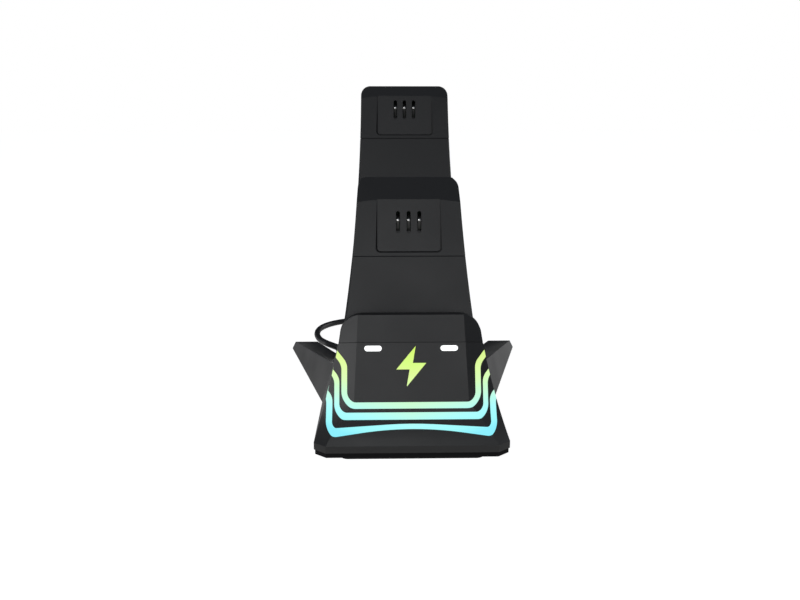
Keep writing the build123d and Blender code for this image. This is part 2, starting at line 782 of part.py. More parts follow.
def lead_way():
    """The low opening that lets the leads pass from one tower into the other."""
    y, z = face_at(rear_row, plate_top)
    return Pos(0, y, z) * Box(lead_way_width, 8 * wall, 2 * lead_way_height)


def middle_tower_shell():
    shell = tower_shell(middle_tower_form, middle_row, plate_top, middle_parting[1])
    return shell - lead_way()


def rear_cover():
    cover = extrude(cover_plane * cover_outline(running), amount=-cover_thickness)
    for place in cover_screw_planes():
        cover -= extrude(place * Circle(cover_screw_radius + running), amount=-cover_thickness)
    return cover


def cover_screws():
    made = Part()
    for place in cover_screw_planes():
        made += extrude(place * Circle(cover_screw_radius), amount=-cover_thickness - cover_boss)
    return made


# Cable

def gland_plane(out):
    """A plane on the left rear corner, out along the cable's exit: its z points out."""
    back_y, _ = back_at(plate_top)
    length = hypot(tail_chamfer_x, tail_chamfer_y)
    normal = (-tail_chamfer_y / length, tail_chamfer_x / length, 0)
    x = tail_chamfer_x / 2 - tower_half(plate_top, rear_narrow)
    y = back_y - tail_chamfer_y / 2
    return Plane(origin=(x + out * normal[0], y + out * normal[1], gland_z), z_dir=normal)


def gland_room():
    """The room for the neck and the collar of the strain relief."""
    room = gland_plane(wall) * Circle(gland_root + gland_collar + running)
    return extrude(room, amount=-2 * wall - gland_collar - 4 * running)


def cable_gland():
    """The tapered strain relief, with a collar inside the wall."""
    sleeve = loft([gland_plane(0) * Circle(gland_root), gland_plane(gland_length) * Circle(gland_end)])
    neck = extrude(gland_plane(-wall) * Circle(gland_root), amount=wall)
    collar = extrude(gland_plane(-wall - running) * Circle(gland_root + gland_collar), amount=-gland_collar)
    return sleeve + neck + extrude(gland_plane(-wall) * Circle(gland_root), amount=-running) + collar


def cable_path():
    floor = cable_diameter / 2
    points = [gland_plane(gland_length).origin, gland_plane(gland_length + cable_straight).origin]
    points += [Vector(x, y, z + floor) for x, y, z in cable_route]
    runs = [(b - a).length for a, b in zip(points, points[1:])]
    turns = [(b - a).get_angle(c - b) for a, b, c in zip(points, points[1:], points[2:])]
    radii = [0.45 * min(pair) / tan(radians(turn) / 2) for pair, turn in zip(zip(runs, runs[1:]), turns)]
    print("cable radii", [round(r, 1) for r in radii])
    return FilletPolyline(*points, radius=radii)


def cable_run():
    path = cable_path()
    start = Plane(origin=path @ 0, z_dir=path % 0)
    tube = sweep(start * Circle(cable_diameter / 2), path=path)
    print("cable volume", tube.volume, "section times length", pi / 4 * cable_diameter ** 2 * path.length)
    return tube


def cable_coil():
    section = RectangleRounded(coil_section, coil_section, coil_section / 3)
    ring = revolve(Plane.XZ * Pos(coil_mean_radius, coil_section / 2) * section, axis=Axis.Z)
    return Pos(*coil_middle, 0) * ring


def plug_place():
    """Where the plug lies: its y points from the coil to the shell's mouth."""
    x = coil_middle[0] + coil_mean_radius + coil_section / 2 - cable_diameter / 2
    y = coil_middle[1] + plug_after_coil
    return Pos(x, y, plug_grip[2] / 2)


def plug_grip_body():
    width, length, height = plug_grip
    body = Pos(0, length / 2, 0) * Box(width, length, height)
    body = fillet(body.edges().filter_by(Axis.Y), height / 4)
    nose = Pos(0, -plug_nose / 2, 0) * Rot(90, 0, 0) * Cylinder(gland_end, plug_nose)
    return plug_place() * (body + nose)


def plug_metal_shell():
    width, length, height = plug_shell
    inside, room_height = width - 2 * plug_wall, height - 2 * plug_wall
    middle = plug_grip[1] + length / 2
    tube = Pos(0, middle, 0) * Box(width, length, height)
    room = Pos(0, middle + plug_wall, 0) * Box(inside, length, room_height)
    shell = tube - room
    for side in (-1, 1):
        shell -= Pos(side * width / 4, middle, 0) * Box(plug_window, plug_window, 2 * height)
    return plug_place() * shell


def plug_tongue():
    """The insulating tongue in the upper half of the shell."""
    width, length, height = plug_shell
    inside, room_height = width - 2 * plug_wall - 2 * running, height - 2 * plug_wall
    middle = plug_grip[1] + length / 2
    return plug_place() * Pos(0, middle, room_height / 4) * Box(inside, length - 2 * plug_wall, room_height / 2)


def make_nodes():
    nodes = {
        "base_housing": base_housing(),
        "front_cap": front_cap(),
        "middle_tower_shell": middle_tower_shell(),
        "middle_cap": middle_cap(),
        "rear_tower_shell": rear_tower_shell(),
        "rear_cap": rear_cap(),
        "rear_cover": rear_cover(),
        "rear_cover_screws": cover_screws(),
        "bottom_plate": bottom_plate(),
        "bottom_screws": bottom_screws(),
        "front_foot": front_foot(),
        "rear_foot_left": rear_foot(-1),
        "rear_foot_right": rear_foot(1),
        "main_board": main_board(),
        "light_board": light_board(),
        "light_packages": light_packages(),
        "status_light_left": status_light(-pill_spacing / 2, 0),
        "status_light_right": status_light(pill_spacing / 2, 0),
        "lit_mark": lit_mark(0),
        "cable_gland": cable_gland(),
        "cable_run": cable_run(),
        "cable_coil": cable_coil(),
        "plug_grip": plug_grip_body(),
        "plug_shell": plug_metal_shell(),
        "plug_tongue": plug_tongue(),
    }
    skin = housing_skin()
    for i, name in enumerate(("upper", "middle", "lower")):
        nodes["light_strip_" + name] = light_strip(i, 0, skin)
    for tower, row in (("middle", middle_row), ("rear", rear_row)):
        nodes["contact_carrier_" + tower] = contact_carrier(row)
        nodes["contact_board_" + tower] = contact_board(row)
        for side, x in zip(("left", "centre", "right"), contact_xs()):
            nodes["contact_" + tower + "_" + side] = contact(row, x)
    return nodes


os.makedirs("parts", exist_ok=True)
for name, part in make_nodes().items():
    export_step(Pos(0, -depth / 2, 0) * part, os.path.join("parts", name + ".step"))
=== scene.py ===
# %% [markdown]
# # A charging dock, dressed for a photograph
# The dock is a moulded black stand with two leaning towers, lit stripes round its flared base and a
# captive cable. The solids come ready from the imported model, so this lesson is about finishes, light
# and the few pieces that solids do not show well: the cable, its strain relief, its plug and its tie.

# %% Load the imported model
import json
import math

import bpy
import numpy as np
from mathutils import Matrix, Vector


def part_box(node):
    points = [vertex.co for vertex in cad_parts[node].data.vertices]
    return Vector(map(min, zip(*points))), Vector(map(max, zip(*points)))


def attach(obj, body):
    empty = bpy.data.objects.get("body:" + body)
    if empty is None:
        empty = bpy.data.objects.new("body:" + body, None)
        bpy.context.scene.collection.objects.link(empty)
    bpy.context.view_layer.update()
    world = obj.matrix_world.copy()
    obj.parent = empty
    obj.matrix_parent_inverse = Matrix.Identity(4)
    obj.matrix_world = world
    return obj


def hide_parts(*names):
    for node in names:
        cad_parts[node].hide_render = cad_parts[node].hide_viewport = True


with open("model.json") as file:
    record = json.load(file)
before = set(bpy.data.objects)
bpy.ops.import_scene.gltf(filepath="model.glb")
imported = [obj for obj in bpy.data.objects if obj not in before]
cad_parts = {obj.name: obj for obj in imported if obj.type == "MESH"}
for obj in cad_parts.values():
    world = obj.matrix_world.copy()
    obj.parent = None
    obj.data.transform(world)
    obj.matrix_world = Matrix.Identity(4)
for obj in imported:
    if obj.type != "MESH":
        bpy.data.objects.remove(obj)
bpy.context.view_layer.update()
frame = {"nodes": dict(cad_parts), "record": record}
nodes = frame["nodes"]
MM = 0.001

# %% [markdown]
# ## Camera
# The photograph was taken from a little above the rear tower, looking down by about 13 degrees and a
# hair to the right. A 36 mm lens on a 36 mm wide sensor gives the same strong perspective. The angles
# are turned into Blender's rotation: first tipped down from the horizon, then turned about the vertical.

# %% Camera
camera_place_mm = (-11.9, -397.2, 142.7)
camera_down_deg, camera_right_deg = 13.07, 1.20
camera_data = bpy.data.cameras.new("photo_camera")
camera_data.lens = 36.0
camera_data.sensor_width = 36.0
camera = bpy.data.objects.new("photo_camera", camera_data)
camera.location = [v * MM for v in camera_place_mm]
camera.rotation_euler = (math.radians(90 - camera_down_deg), 0, math.radians(-camera_right_deg))
bpy.context.scene.collection.objects.link(camera)
bpy.context.scene.camera = camera
print("camera at", camera_place_mm)

# %% [markdown]
# ## The cable's route
# The cable leaves the rear tower's left corner, sinks to the table and swings round in the loop that
# the photograph shows behind the left leg. The rest of its length is put away in a coil behind the
# dock. One smooth spline carries all of it: the route's points first, then the coil's turns, and at
# last a short run into the plug. The coil is wound on a square of three by three places. The cable
# goes round the outer eight places, and it changes places earlier on each turn where the winding
# turns a corner, so that no two turns ever cross.

# %% The route and the coil's turns
cable_radius = 1.9
route = np.array([
    (-39.58, 68.62, 5.2), (-45.34, 75.53, 5.2), (-49.2, 87.5, 3.1), (-53.4, 99.0, 1.9),
    (-56.2, 112.0, 1.9), (-55.4, 125.2, 1.9), (-49.8, 136.6, 1.9), (-40.6, 144.2, 1.9),
    (-29.6, 148.4, 1.9), (-18.2, 150.5, 1.9), (-5.6, 151.15, 1.9)])
coil_middle = np.array((8.0, 176.0))
turn_radii, turn_heights = (24.9, 21.0, 17.1), (1.9, 5.8, 9.7)
places = [(0, 0), (1, 0), (2, 0), (2, 1), (2, 2), (1, 2), (0, 2), (0, 1)]
points_per_turn = 18
change = 0.13
tie_turn, tie_lift, tie_reach = 0.72, 0.65, 0.11


def stay_ends():
    """The turn count at which the cable starts to leave each place: a corner brings it forward."""
    steps = np.diff(np.array(places), axis=0)
    corners = np.concatenate(([0], np.cumsum(np.any(steps[1:] != steps[:-1], axis=1))))
    first = 1.0 - 2 * change
    return first + np.arange(len(steps)) - change * corners


def coil_points(start_turn, end_turn):
    """Points on the turns: each place's radius and height, eased from one to the next, with a low rise
    where the tie passes under the coil. A turn count of 0 is the coil's front, and 0.25 its right."""
    count = int(round((end_turn - start_turn) * points_per_turn))
    turns = np.linspace(start_turn, end_turn, count + 1)
    radius = np.full(turns.shape, turn_radii[places[0][0]])
    height = np.full(turns.shape, turn_heights[places[0][1]])
    for (a, b), leave in zip(zip(places, places[1:]), stay_ends()):
        share = np.clip((turns - leave) / change, 0, 1)
        radius += share * (turn_radii[b[0]] - turn_radii[a[0]])
        height += share * (turn_heights[b[1]] - turn_heights[a[1]])
    from_tie = (turns - tie_turn + 0.5) % 1.0 - 0.5
    height += tie_lift * np.exp(-(from_tie / tie_reach) ** 2)
    outside = radius / math.cos(math.pi / points_per_turn)
    angle = 2 * math.pi * turns
    x = coil_middle[0] + outside * np.sin(angle)
    y = coil_middle[1] - outside * np.cos(angle)
    return np.column_stack((x, y, height))


last_turn = len(places) - 0.75
turns = coil_points(0.0, last_turn)
leave_x = coil_middle[0] + turn_radii[0]
leave_y, leave_z = (181.0, 186.5, 192.0, 197.0, 202.0), (5.8, 5.5, 4.0, 3.5, 3.5)
leave = np.column_stack((np.full(len(leave_y), leave_x), leave_y, leave_z))
cable_points = np.vstack((route, turns, leave))
print("coil turns", last_turn, "cable points", len(cable_points))

# %% [markdown]
# ## The cable
# A curve with a round bevel is the natural tool for a cable. Its NURBS spline is told its order and
# its end points after the points are added, because set earlier they are lost. The line's points are
# read from the curve itself before it gets its thickness. The thickness is carried by each point's own
# radius, with a bevel of one metre to scale it, because Blender counts that radius in the curve's box.

# %% The cable's curve
cable_curve = bpy.data.curves.new("cable", "CURVE")
cable_curve.dimensions = "3D"
spline = cable_curve.splines.new("NURBS")
spline.points.add(len(cable_points) - 1)
spline.points.foreach_set("co", np.column_stack((cable_points * MM, np.ones(len(cable_points)))).ravel())
spline.points.foreach_set("radius", np.full(len(cable_points), cable_radius * MM))
spline.order_u = 3
spline.use_endpoint_u = True
cable_curve.resolution_u = 6
cable = bpy.data.objects.new("cable", cable_curve)
bpy.context.scene.collection.objects.link(cable)
line = bpy.data.meshes.new_from_object(cable)
line_points = np.empty(len(line.vertices) * 3)
line.vertices.foreach_get("co", line_points)
line_points = line_points.reshape(-1, 3)
bpy.data.meshes.remove(line)
cable_curve.bevel_depth = 1.0
cable_curve.bevel_resolution = 4
cable_curve.use_fill_caps = True
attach(cable, "dock")
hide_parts("cable_run", "cable_coil")

# %% [markdown]
# ## A helper for surfaces
# Every new piece here is a closed surface on a grid: one parameter runs along the piece and the other
# round it. The helper takes the grid as one array, joins each row to the next and each row's end to
# its start, and closes the ends with a point in the middle, or joins the last row to the first.

# %% Closed surface on a grid
def grid_piece(name, grid, ring=False, body="dock"):
    """A mesh from an array of rows by columns of points in millimetres: quads between neighbouring
    rows, columns closed round, ends closed with fans, or the rows joined into a ring."""
    rows, columns, _ = grid.shape
    row = np.arange(rows if ring else rows - 1)[:, None]
    column = np.arange(columns)[None, :]
    after_row, after_column = (row + 1) % rows, (column + 1) % columns
    quads = np.stack((row * columns + column, row * columns + after_column,
                      after_row * columns + after_column, after_row * columns + column), axis=-1)
    faces = quads.reshape(-1, 4).tolist()
    points = grid.reshape(-1, 3)
    if not ring:
        ends = np.stack((grid[0].mean(axis=0), grid[-1].mean(axis=0)))
        points = np.vstack((points, ends))
        around = np.arange(columns)
        first, last = rows * columns, rows * columns + 1
        low = np.column_stack(((around + 1) % columns, around, np.full(columns, first)))
        base = (rows - 1) * columns
        high = np.column_stack((base + around, base + (around + 1) % columns, np.full(columns, last)))
        faces += low.tolist() + high.tolist()
    mesh = bpy.data.meshes.new(name)
    mesh.from_pydata((points * MM).tolist(), [], faces)
    mesh.polygons.foreach_set("use_smooth", np.ones(len(mesh.polygons), bool))
    mesh.update()
    piece = bpy.data.objects.new(name, mesh)
    bpy.context.scene.collection.objects.link(piece)
    turn_outwards(mesh)
    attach(piece, body)
    print("made", name, len(mesh.polygons), "faces")
    return piece


def turn_outwards(mesh):
    """Flip the faces if the closed surface's signed volume is negative: a sum of triple products."""
    mesh.calc_loop_triangles()
    corners = np.empty(len(mesh.loop_triangles) * 3, np.int32)
    mesh.loop_triangles.foreach_get("vertices", corners)
    points = np.empty(len(mesh.vertices) * 3)
    mesh.vertices.foreach_get("co", points)
    a, b, c = points.reshape(-1, 3)[corners.reshape(-1, 3)].transpose(1, 0, 2)
    if np.einsum("ij,ij->i", a, np.cross(b, c)).sum() < 0:
        mesh.flip_normals()


# %% [markdown]
# ## Strain relief
# Where the cable leaves the housing, a soft tapered sleeve keeps it from kinking. Real ones have rings
# moulded into them so that they bend evenly. The sleeve is a surface of revolution: its radius falls
# from root to end, and a rounded wave along its length makes the rings.

# %% Strain relief
sleeve_root = np.array((-32.53, 60.17, 5.2))
sleeve_axis = np.array((-0.640184, 0.768222, 0.0))
sleeve_length, sleeve_rings, ring_depth = 11.0, 5, 0.42
sleeve_sunk, sleeve_rounding = 2.4, 0.5
plain_root, plain_end = 1.6, 1.4
wide_end, narrow_end = 3.2, 2.4
sleeve_rows = 121


def revolved(root, axis, along, radius, columns=40):
    """Points of a surface of revolution: at each distance along the axis, a circle of that radius."""
    axis = axis / np.linalg.norm(axis)
    side = np.cross(axis, (0.0, 0.0, 1.0))
    side /= np.linalg.norm(side)
    up = np.cross(side, axis)
    angle = np.linspace(0, 2 * math.pi, columns, endpoint=False)
    circle = np.cos(angle)[:, None] * side + np.sin(angle)[:, None] * up
    return root + along[:, None, None] * axis + radius[:, None, None] * circle


def rounded_off(along, radius):
    """The share of full size left at each place: a quarter circle over the last stretch of the piece."""
    into = np.clip(along - along[-1] + radius, 0, radius) / radius
    return np.sqrt(np.clip(1 - into ** 2, 0, 1))


along = np.linspace(0, sleeve_length, sleeve_rows)
taper = wide_end + (narrow_end - wide_end) * along / sleeve_length
ringed = np.clip((along - plain_root) / (sleeve_length - plain_root - plain_end), 0, 1)
wave = np.where((ringed > 0) & (ringed < 1), np.sin(sleeve_rings * math.pi * ringed) ** 2, 0)
rounding = rounded_off(along, sleeve_rounding)
sleeve_radius = cable_radius + (taper - ring_depth * wave - cable_radius) * rounding
along = np.concatenate(([-sleeve_sunk], along))
sleeve_radius = np.concatenate(([wide_end], sleeve_radius))
strain_relief = grid_piece("strain_relief", revolved(sleeve_root, sleeve_axis, along, sleeve_radius))
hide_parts("cable_gland")

# %% [markdown]
# ## Plug grip
# The plug's grip is moulded over the cable's end. Its section is a superellipse, a shape between an
# oval and a rectangle, which swells from the round nose to the flat body. A few shallow waves on the
# body's rear half give the fingers hold.

# %% Plug grip
grip_low, grip_high = (np.array(v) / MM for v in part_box("plug_grip"))
grip_middle = (grip_low + grip_high) / 2
nose_radius, nose_start, nose_length = 2.4, 4.7, 6.5
swell_lead, swell_length, grip_rounding = 1.2, 3.4, 0.8
grip_waves, waves_after, waves_length, wave_depth, wave_top_share = 5, 4.0, 9.0, 0.45, 0.2
nose_power, body_power = 2.0, 4.6
grip_rows, grip_columns = 140, 64


def superellipse(angle, half_width, half_height, power):
    """A point at each angle of |x/a|^p + |z/b|^p = 1, for arrays of sizes and powers."""
    c, s = np.cos(angle), np.sin(angle)
    size = (np.abs(c) ** power + np.abs(s) ** power) ** (-1 / power)
    return half_width * size * c, half_height * size * s


grip_along = np.linspace(nose_start, grip_high[1] - grip_low[1], grip_rows)
body_start = nose_start + nose_length
grip_share = np.clip((grip_along - body_start + swell_lead) / swell_length, 0, 1)
swell = grip_share ** 2 * (3 - 2 * grip_share)
round_end = rounded_off(grip_along, grip_rounding)
wave_share = np.clip((grip_along - body_start - waves_after) / waves_length, 0, 1)
groove = wave_depth * np.sin(grip_waves * math.pi * wave_share) ** 2
body_half = (grip_high - grip_low) / 2
half_width = nose_radius + (body_half[0] - nose_radius) * swell - groove
half_height = nose_radius + (body_half[2] - nose_radius) * swell - wave_top_share * groove
half_width -= grip_rounding * (1 - round_end)
half_height -= grip_rounding * (1 - round_end)
power = nose_power + (body_power - nose_power) * swell
grip_angle = np.linspace(0, 2 * math.pi, grip_columns, endpoint=False)[None, :]
grip_x, grip_z = superellipse(grip_angle, half_width[:, None], half_height[:, None], power[:, None])
grip_y = np.broadcast_to((grip_low[1] + grip_along)[:, None], grip_x.shape)
grip_grid = np.stack((grip_middle[0] + grip_x, grip_y, grip_middle[2] + grip_z), -1)
plug_grip = grid_piece("moulded_plug_grip", grip_grid)
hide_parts("plug_grip")

# %% [markdown]
# ## The coil's tie
# A put-away cable is held by a strap. The strap is a band with a thin rectangular section, carried
# round a rounded square that just encloses the nine places of the coil. It passes under the coil,
# which rises by the strap's thickness there.

# %% Tie round the coil
tie_width, tie_thickness, tie_slack = 7.0, 0.55, 0.05
tie_corner = cable_radius + tie_slack
coil_half = (turn_radii[0] - turn_radii[2]) / 2 + tie_corner


def rounded_square(half, corner, per_side=24):
    """Points round a square with rounded corners: four quarter arcs, each a quarter turn on."""
    arc = np.linspace(0, math.pi / 2, per_side)
    flat = half - corner
    quarters = []
    for side_x, side_z, half_turns in ((1, 1, 0.0), (-1, 1, 0.5), (-1, -1, 1.0), (1, -1, 1.5)):
        angle = arc + math.pi * half_turns
        x = side_x * flat + corner * np.cos(angle)
        z = side_z * flat + corner * np.sin(angle)
        quarters.append(np.column_stack((x, z)))
    return np.vstack(quarters)


inner = rounded_square(coil_half, tie_corner)
outer = rounded_square(coil_half + tie_thickness, tie_corner + tie_thickness)
tie_angle = 2 * math.pi * tie_turn
out_way = np.array((math.sin(tie_angle), -math.cos(tie_angle), 0.0))
round_way = np.array((math.cos(tie_angle), math.sin(tie_angle), 0.0))
tie_middle = np.array((*coil_middle, 0.0)) + turn_radii[1] * out_way
tie_middle[2] = turn_heights[1] + tie_lift
section = [(inner, -0.5), (outer, -0.5), (outer, 0.5), (inner, 0.5)]
tie_grid = np.stack([tie_middle + loop[:, :1] * out_way + loop[:, 1:] * np.array((0, 0, 1.0))
                     + side * tie_width * round_way for loop, side in section], axis=1)
coil_tie = grid_piece("coil_tie", tie_grid, ring=True)
coil_tie.data.polygons.foreach_set("use_smooth", np.zeros(len(coil_tie.data.polygons), bool))

# %% [markdown]
# ## Contact tips
# Each sprung contact ends in a small polished dome, the one spot that touches the controller. The dome
# is half an ellipsoid that sits on the highest point of the strip. That point is read from the solid:
# it is the point furthest out along the direction in which the tower's face looks.

# %% Contact tips
face_lean = math.radians(18.0)
face_out = np.array((0.0, -math.cos(face_lean), math.sin(face_lean)))
face_up = np.array((0.0, math.sin(face_lean), math.cos(face_lean)))
tip_radius, tip_height, tip_sunk = 0.7, 0.5, 0.18
tip_end_deg, tip_rows, tip_columns = 88.0, 10, 28
crest_depth = 0.01


def contact_tip(name):
    """Rows from rim to top: radius r cos(t), height h sin(t) along the face's direction."""
    points = np.empty(len(nodes[name].data.vertices) * 3)
    nodes[name].data.vertices.foreach_get("co", points)
    points = points.reshape(-1, 3) / MM
    reach = points @ face_out
    top = points[reach > reach.max() - crest_depth].mean(axis=0)
    t = np.linspace(0, math.radians(tip_end_deg), tip_rows)[:, None, None]
    angle = np.linspace(0, 2 * math.pi, tip_columns, endpoint=False)[None, :, None]
    across = np.cos(angle) * np.array((1.0, 0.0, 0.0)) + np.sin(angle) * face_up
    grid = top + tip_radius * np.cos(t) * across + (tip_height * np.sin(t) - tip_sunk) * face_out
    return grid_piece(name + "_tip", grid, body=name)


contact_names = [name for name in nodes if name.startswith(("contact_middle_", "contact_rear_"))]
contact_tips = [contact_tip(name) for name in contact_names]

# %% [markdown]

# %% [markdown]
# ## Helpers for finishes
# Colours are written as the sRGB hex values that a paint chart or a screen gives, and one function
# turns them into the linear light that shaders expect. A second function adds a node, sets what it is
# given and links what comes from another node.

# %% Colour and node helpers
def linear(hex_colour):
    """sRGB hex to linear RGBA: the low end is a straight line, the rest a power of 2.4."""
    srgb = np.array([int(hex_colour[i:i + 2], 16) for i in (1, 3, 5)]) / 255
    low, high = srgb / 12.92, ((srgb + 0.055) / 1.055) ** 2.4
    return (*np.where(srgb <= 0.04045, low, high).tolist(), 1.0)


def add(material, kind, inputs, **settings):
    """Add a node: settings are its properties, and each input is a value or another node's output."""
    node = material.node_tree.nodes.new(kind)
    for name, value in settings.items():
        setattr(node, name, value)
    for name, value in inputs.items():
        if isinstance(value, bpy.types.NodeSocket):
            material.node_tree.links.new(value, node.inputs[name])
        else:
            node.inputs[name].default_value = value
    return node


def per_mm(size_mm):
    """A texture's scale, in repeats per metre, from the real size of one repeat."""
    return 1.0 / (size_mm * MM)


def empty_material(name):
    material = bpy.data.materials.new(name)
    material.use_nodes = True
    material.node_tree.nodes.clear()
    return material


def finish_material(material, inputs):
    """A Principled shader with these inputs, linked to the material's output."""
    shader = add(material, "ShaderNodeBsdfPrincipled", inputs)
    add(material, "ShaderNodeOutputMaterial", {"Surface": shader.outputs["BSDF"]})
    print("finish", material.name)
    return material


# %% [markdown]
# ## Moulded ABS
# The shells are injection-moulded ABS. The mould's spark-eroded skin leaves a fine grain that breaks
# up reflections, so the black reads as charcoal. The real grain is about 0.1 mm and could not be seen
# from here, so it is drawn at 0.7 mm, with very little height. A slow second noise makes the gloss
# uneven, as handling does.

# %% Moulded ABS finishes
def moulded_plastic(name, dark, light, roughness, grain_mm=0.7, grain_height_mm=0.02, specular=0.5):
    material = empty_material(name)
    place = add(material, "ShaderNodeTexCoord", {}).outputs["Object"]
    grain = add(material, "ShaderNodeTexNoise", {
        "Vector": place, "Scale": per_mm(grain_mm), "Detail": 2.0})
    drift = add(material, "ShaderNodeTexNoise", {
        "Vector": place, "Scale": per_mm(28.0), "Detail": 3.0})
    colour = add(material, "ShaderNodeValToRGB", {"Fac": drift.outputs["Fac"]})
    colour.color_ramp.elements[0].color = linear(dark)
    colour.color_ramp.elements[1].color = linear(light)
    gloss = add(material, "ShaderNodeMapRange", {
        "Value": drift.outputs["Fac"], "From Min": 0.3, "From Max": 0.7,
        "To Min": roughness - 0.05, "To Max": roughness + 0.05})
    bump = add(material, "ShaderNodeBump", {
        "Height": grain.outputs["Fac"], "Strength": 0.6, "Distance": grain_height_mm * MM})
    return finish_material(material, {
        "Base Color": colour.outputs["Color"], "Roughness": gloss.outputs["Result"],
        "Normal": bump.outputs["Normal"], "IOR": 1.5, "Specular IOR Level": specular})


shell_abs = moulded_plastic("charcoal_moulded_abs", "#191919", "#1f1f1f", 0.42)
plate_abs = moulded_plastic("black_moulded_abs", "#0c0c0d", "#111112", 0.6, specular=0.12)
tongue_plastic = moulded_plastic("pale_plug_tongue", "#b9b8b2", "#c9c8c2", 0.45)
insulator = moulded_plastic("black_insulator", "#0e0e0f", "#141415", 0.4)
grip_plastic = moulded_plastic("black_overmoulded_grip", "#131314", "#1a1a1b", 0.48, 0.5, 0.02)

# %% [markdown]
# ## Lit light guides
# The stripes and the mark are milky polycarbonate, lit from behind. Their colour runs from lime at the
# top to a light blue at the lowest corners, and each run is greener in its middle than at its ends. So
# one ramp serves all of them, on the height less a share of the distance from the middle.
# The light is about as strong as white paper's: the stripes then keep their colour and still throw a
# faint glow on the dark plastic beside them.

# %% Light guide finishes
guide_colours = [
    (4.5, "#8cf0fe"), (7.0, "#a0fcfe"), (11.5, "#acfdfe"), (15.6, "#befdea"), (18.5, "#c8fdd9"),
    (20.5, "#cbfecf"), (24.3, "#daffb7"), (28.4, "#dfffa7"), (33.0, "#def894"), (36.0, "#d8fe85"),
    (45.0, "#d4f566")]
sideways_share = 0.19


def light_guide():
    material = empty_material("milky_light_guide")
    place = add(material, "ShaderNodeTexCoord", {}).outputs["Object"]
    parts = add(material, "ShaderNodeSeparateXYZ", {"Vector": place})
    aside = add(material, "ShaderNodeMath", {0: parts.outputs["X"]}, operation="ABSOLUTE")
    level = add(material, "ShaderNodeMath", {
        0: aside.outputs["Value"], 1: -sideways_share, 2: parts.outputs["Z"]}, operation="MULTIPLY_ADD")
    low, high = guide_colours[0][0], guide_colours[-1][0]
    share = add(material, "ShaderNodeMapRange", {
        "Value": level.outputs["Value"], "From Min": low * MM, "From Max": high * MM})
    ramp = add(material, "ShaderNodeValToRGB", {"Fac": share.outputs["Result"]})
    elements = ramp.color_ramp.elements
    while len(elements) < len(guide_colours):
        elements.new(0.5)
    for element, (height, _) in zip(elements, guide_colours):
        element.position = (height - low) / (high - low)
    for element, (_, colour) in zip(elements, guide_colours):
        element.color = linear(colour)
    return finish_material(material, {
        "Base Color": linear("#141614"), "Roughness": 0.35, "IOR": 1.58, "Specular IOR Level": 0.15,
        "Emission Color": ramp.outputs["Color"], "Emission Strength": 1.0})


def lit_lens(name, colour, strength):
    material = empty_material(name)
    place = add(material, "ShaderNodeTexCoord", {}).outputs["Object"]
    milk = add(material, "ShaderNodeTexNoise", {"Vector": place, "Scale": per_mm(2.0)})
    ramp = add(material, "ShaderNodeValToRGB", {"Fac": milk.outputs["Fac"]})
    ramp.color_ramp.elements[0].color = linear(colour)
    ramp.color_ramp.elements[1].color = linear("#ffffff")
    return finish_material(material, {
        "Base Color": linear("#8c8f8e"), "Roughness": 0.3, "IOR": 1.58,
        "Emission Color": ramp.outputs["Color"], "Emission Strength": strength})


guide = light_guide()
status_lens = lit_lens("white_status_lens", "#f6fbfa", 1.3)
lamp_lens = lit_lens("lamp_package_resin", "#f4efd8", 0.6)

# %% [markdown]
# ## Rubber, cable jacket and strap
# The pads are moulded rubber, dull and slightly dusty. The cable's jacket is smooth PVC with a soft
# sheen. The strap is woven nylon: two wave textures across each other stand for its bold weave. Blender's
# wave texture draws 20 radians of wave per unit of its scale, so a full turn over 20 gives one repeat.

# %% Soft black finishes
def soft_black(name, dark, light, roughness, patch_mm, bump_mm):
    material = empty_material(name)
    place = add(material, "ShaderNodeTexCoord", {}).outputs["Object"]
    patch = add(material, "ShaderNodeTexNoise", {
        "Vector": place, "Scale": per_mm(patch_mm), "Detail": 4.0})
    colour = add(material, "ShaderNodeValToRGB", {"Fac": patch.outputs["Fac"]})
    colour.color_ramp.elements[0].color = linear(dark)
    colour.color_ramp.elements[1].color = linear(light)
    bump = add(material, "ShaderNodeBump", {
        "Height": patch.outputs["Fac"], "Strength": 0.4, "Distance": bump_mm * MM})
    return finish_material(material, {
        "Base Color": colour.outputs["Color"], "Roughness": roughness, "IOR": 1.5,
        "Normal": bump.outputs["Normal"]})


def woven_strap(weave_mm=5.655, radians_per_scale=20):
    material = empty_material("woven_nylon_strap")
    place = add(material, "ShaderNodeTexCoord", {}).outputs["Object"]
    scale = per_mm(weave_mm) * 2 * math.pi / radians_per_scale
    along, across = (add(material, "ShaderNodeTexWave", {
        "Vector": place, "Scale": scale, "Distortion": 0.4}, bands_direction=way) for way in ("X", "Y"))
    weave = add(material, "ShaderNodeMath", {
        0: along.outputs["Fac"], 1: across.outputs["Fac"]}, operation="MULTIPLY")
    colour = add(material, "ShaderNodeValToRGB", {"Fac": weave.outputs["Value"]})
    colour.color_ramp.elements[0].color = linear("#0c0c0d")
    colour.color_ramp.elements[1].color = linear("#242426")
    bump = add(material, "ShaderNodeBump", {
        "Height": weave.outputs["Value"], "Strength": 0.5, "Distance": 0.08 * MM})
    return finish_material(material, {
        "Base Color": colour.outputs["Color"], "Roughness": 0.75, "IOR": 1.53,
        "Normal": bump.outputs["Normal"]})


rubber = soft_black("moulded_rubber", "#0b0b0c", "#151515", 0.8, 1.5, 0.05)
jacket = soft_black("smooth_pvc_jacket", "#111112", "#161617", 0.42, 6.0, 0.02)
strap = woven_strap()

# %% [markdown]
# ## Metals and boards
# The contacts are plated spring strip and the plug's shell is plain steel: both are drawn metals, so
# their grain is stretched along one way. The boards are glass cloth under green lacquer, and a brick
# pattern gives the copper runs beneath it.

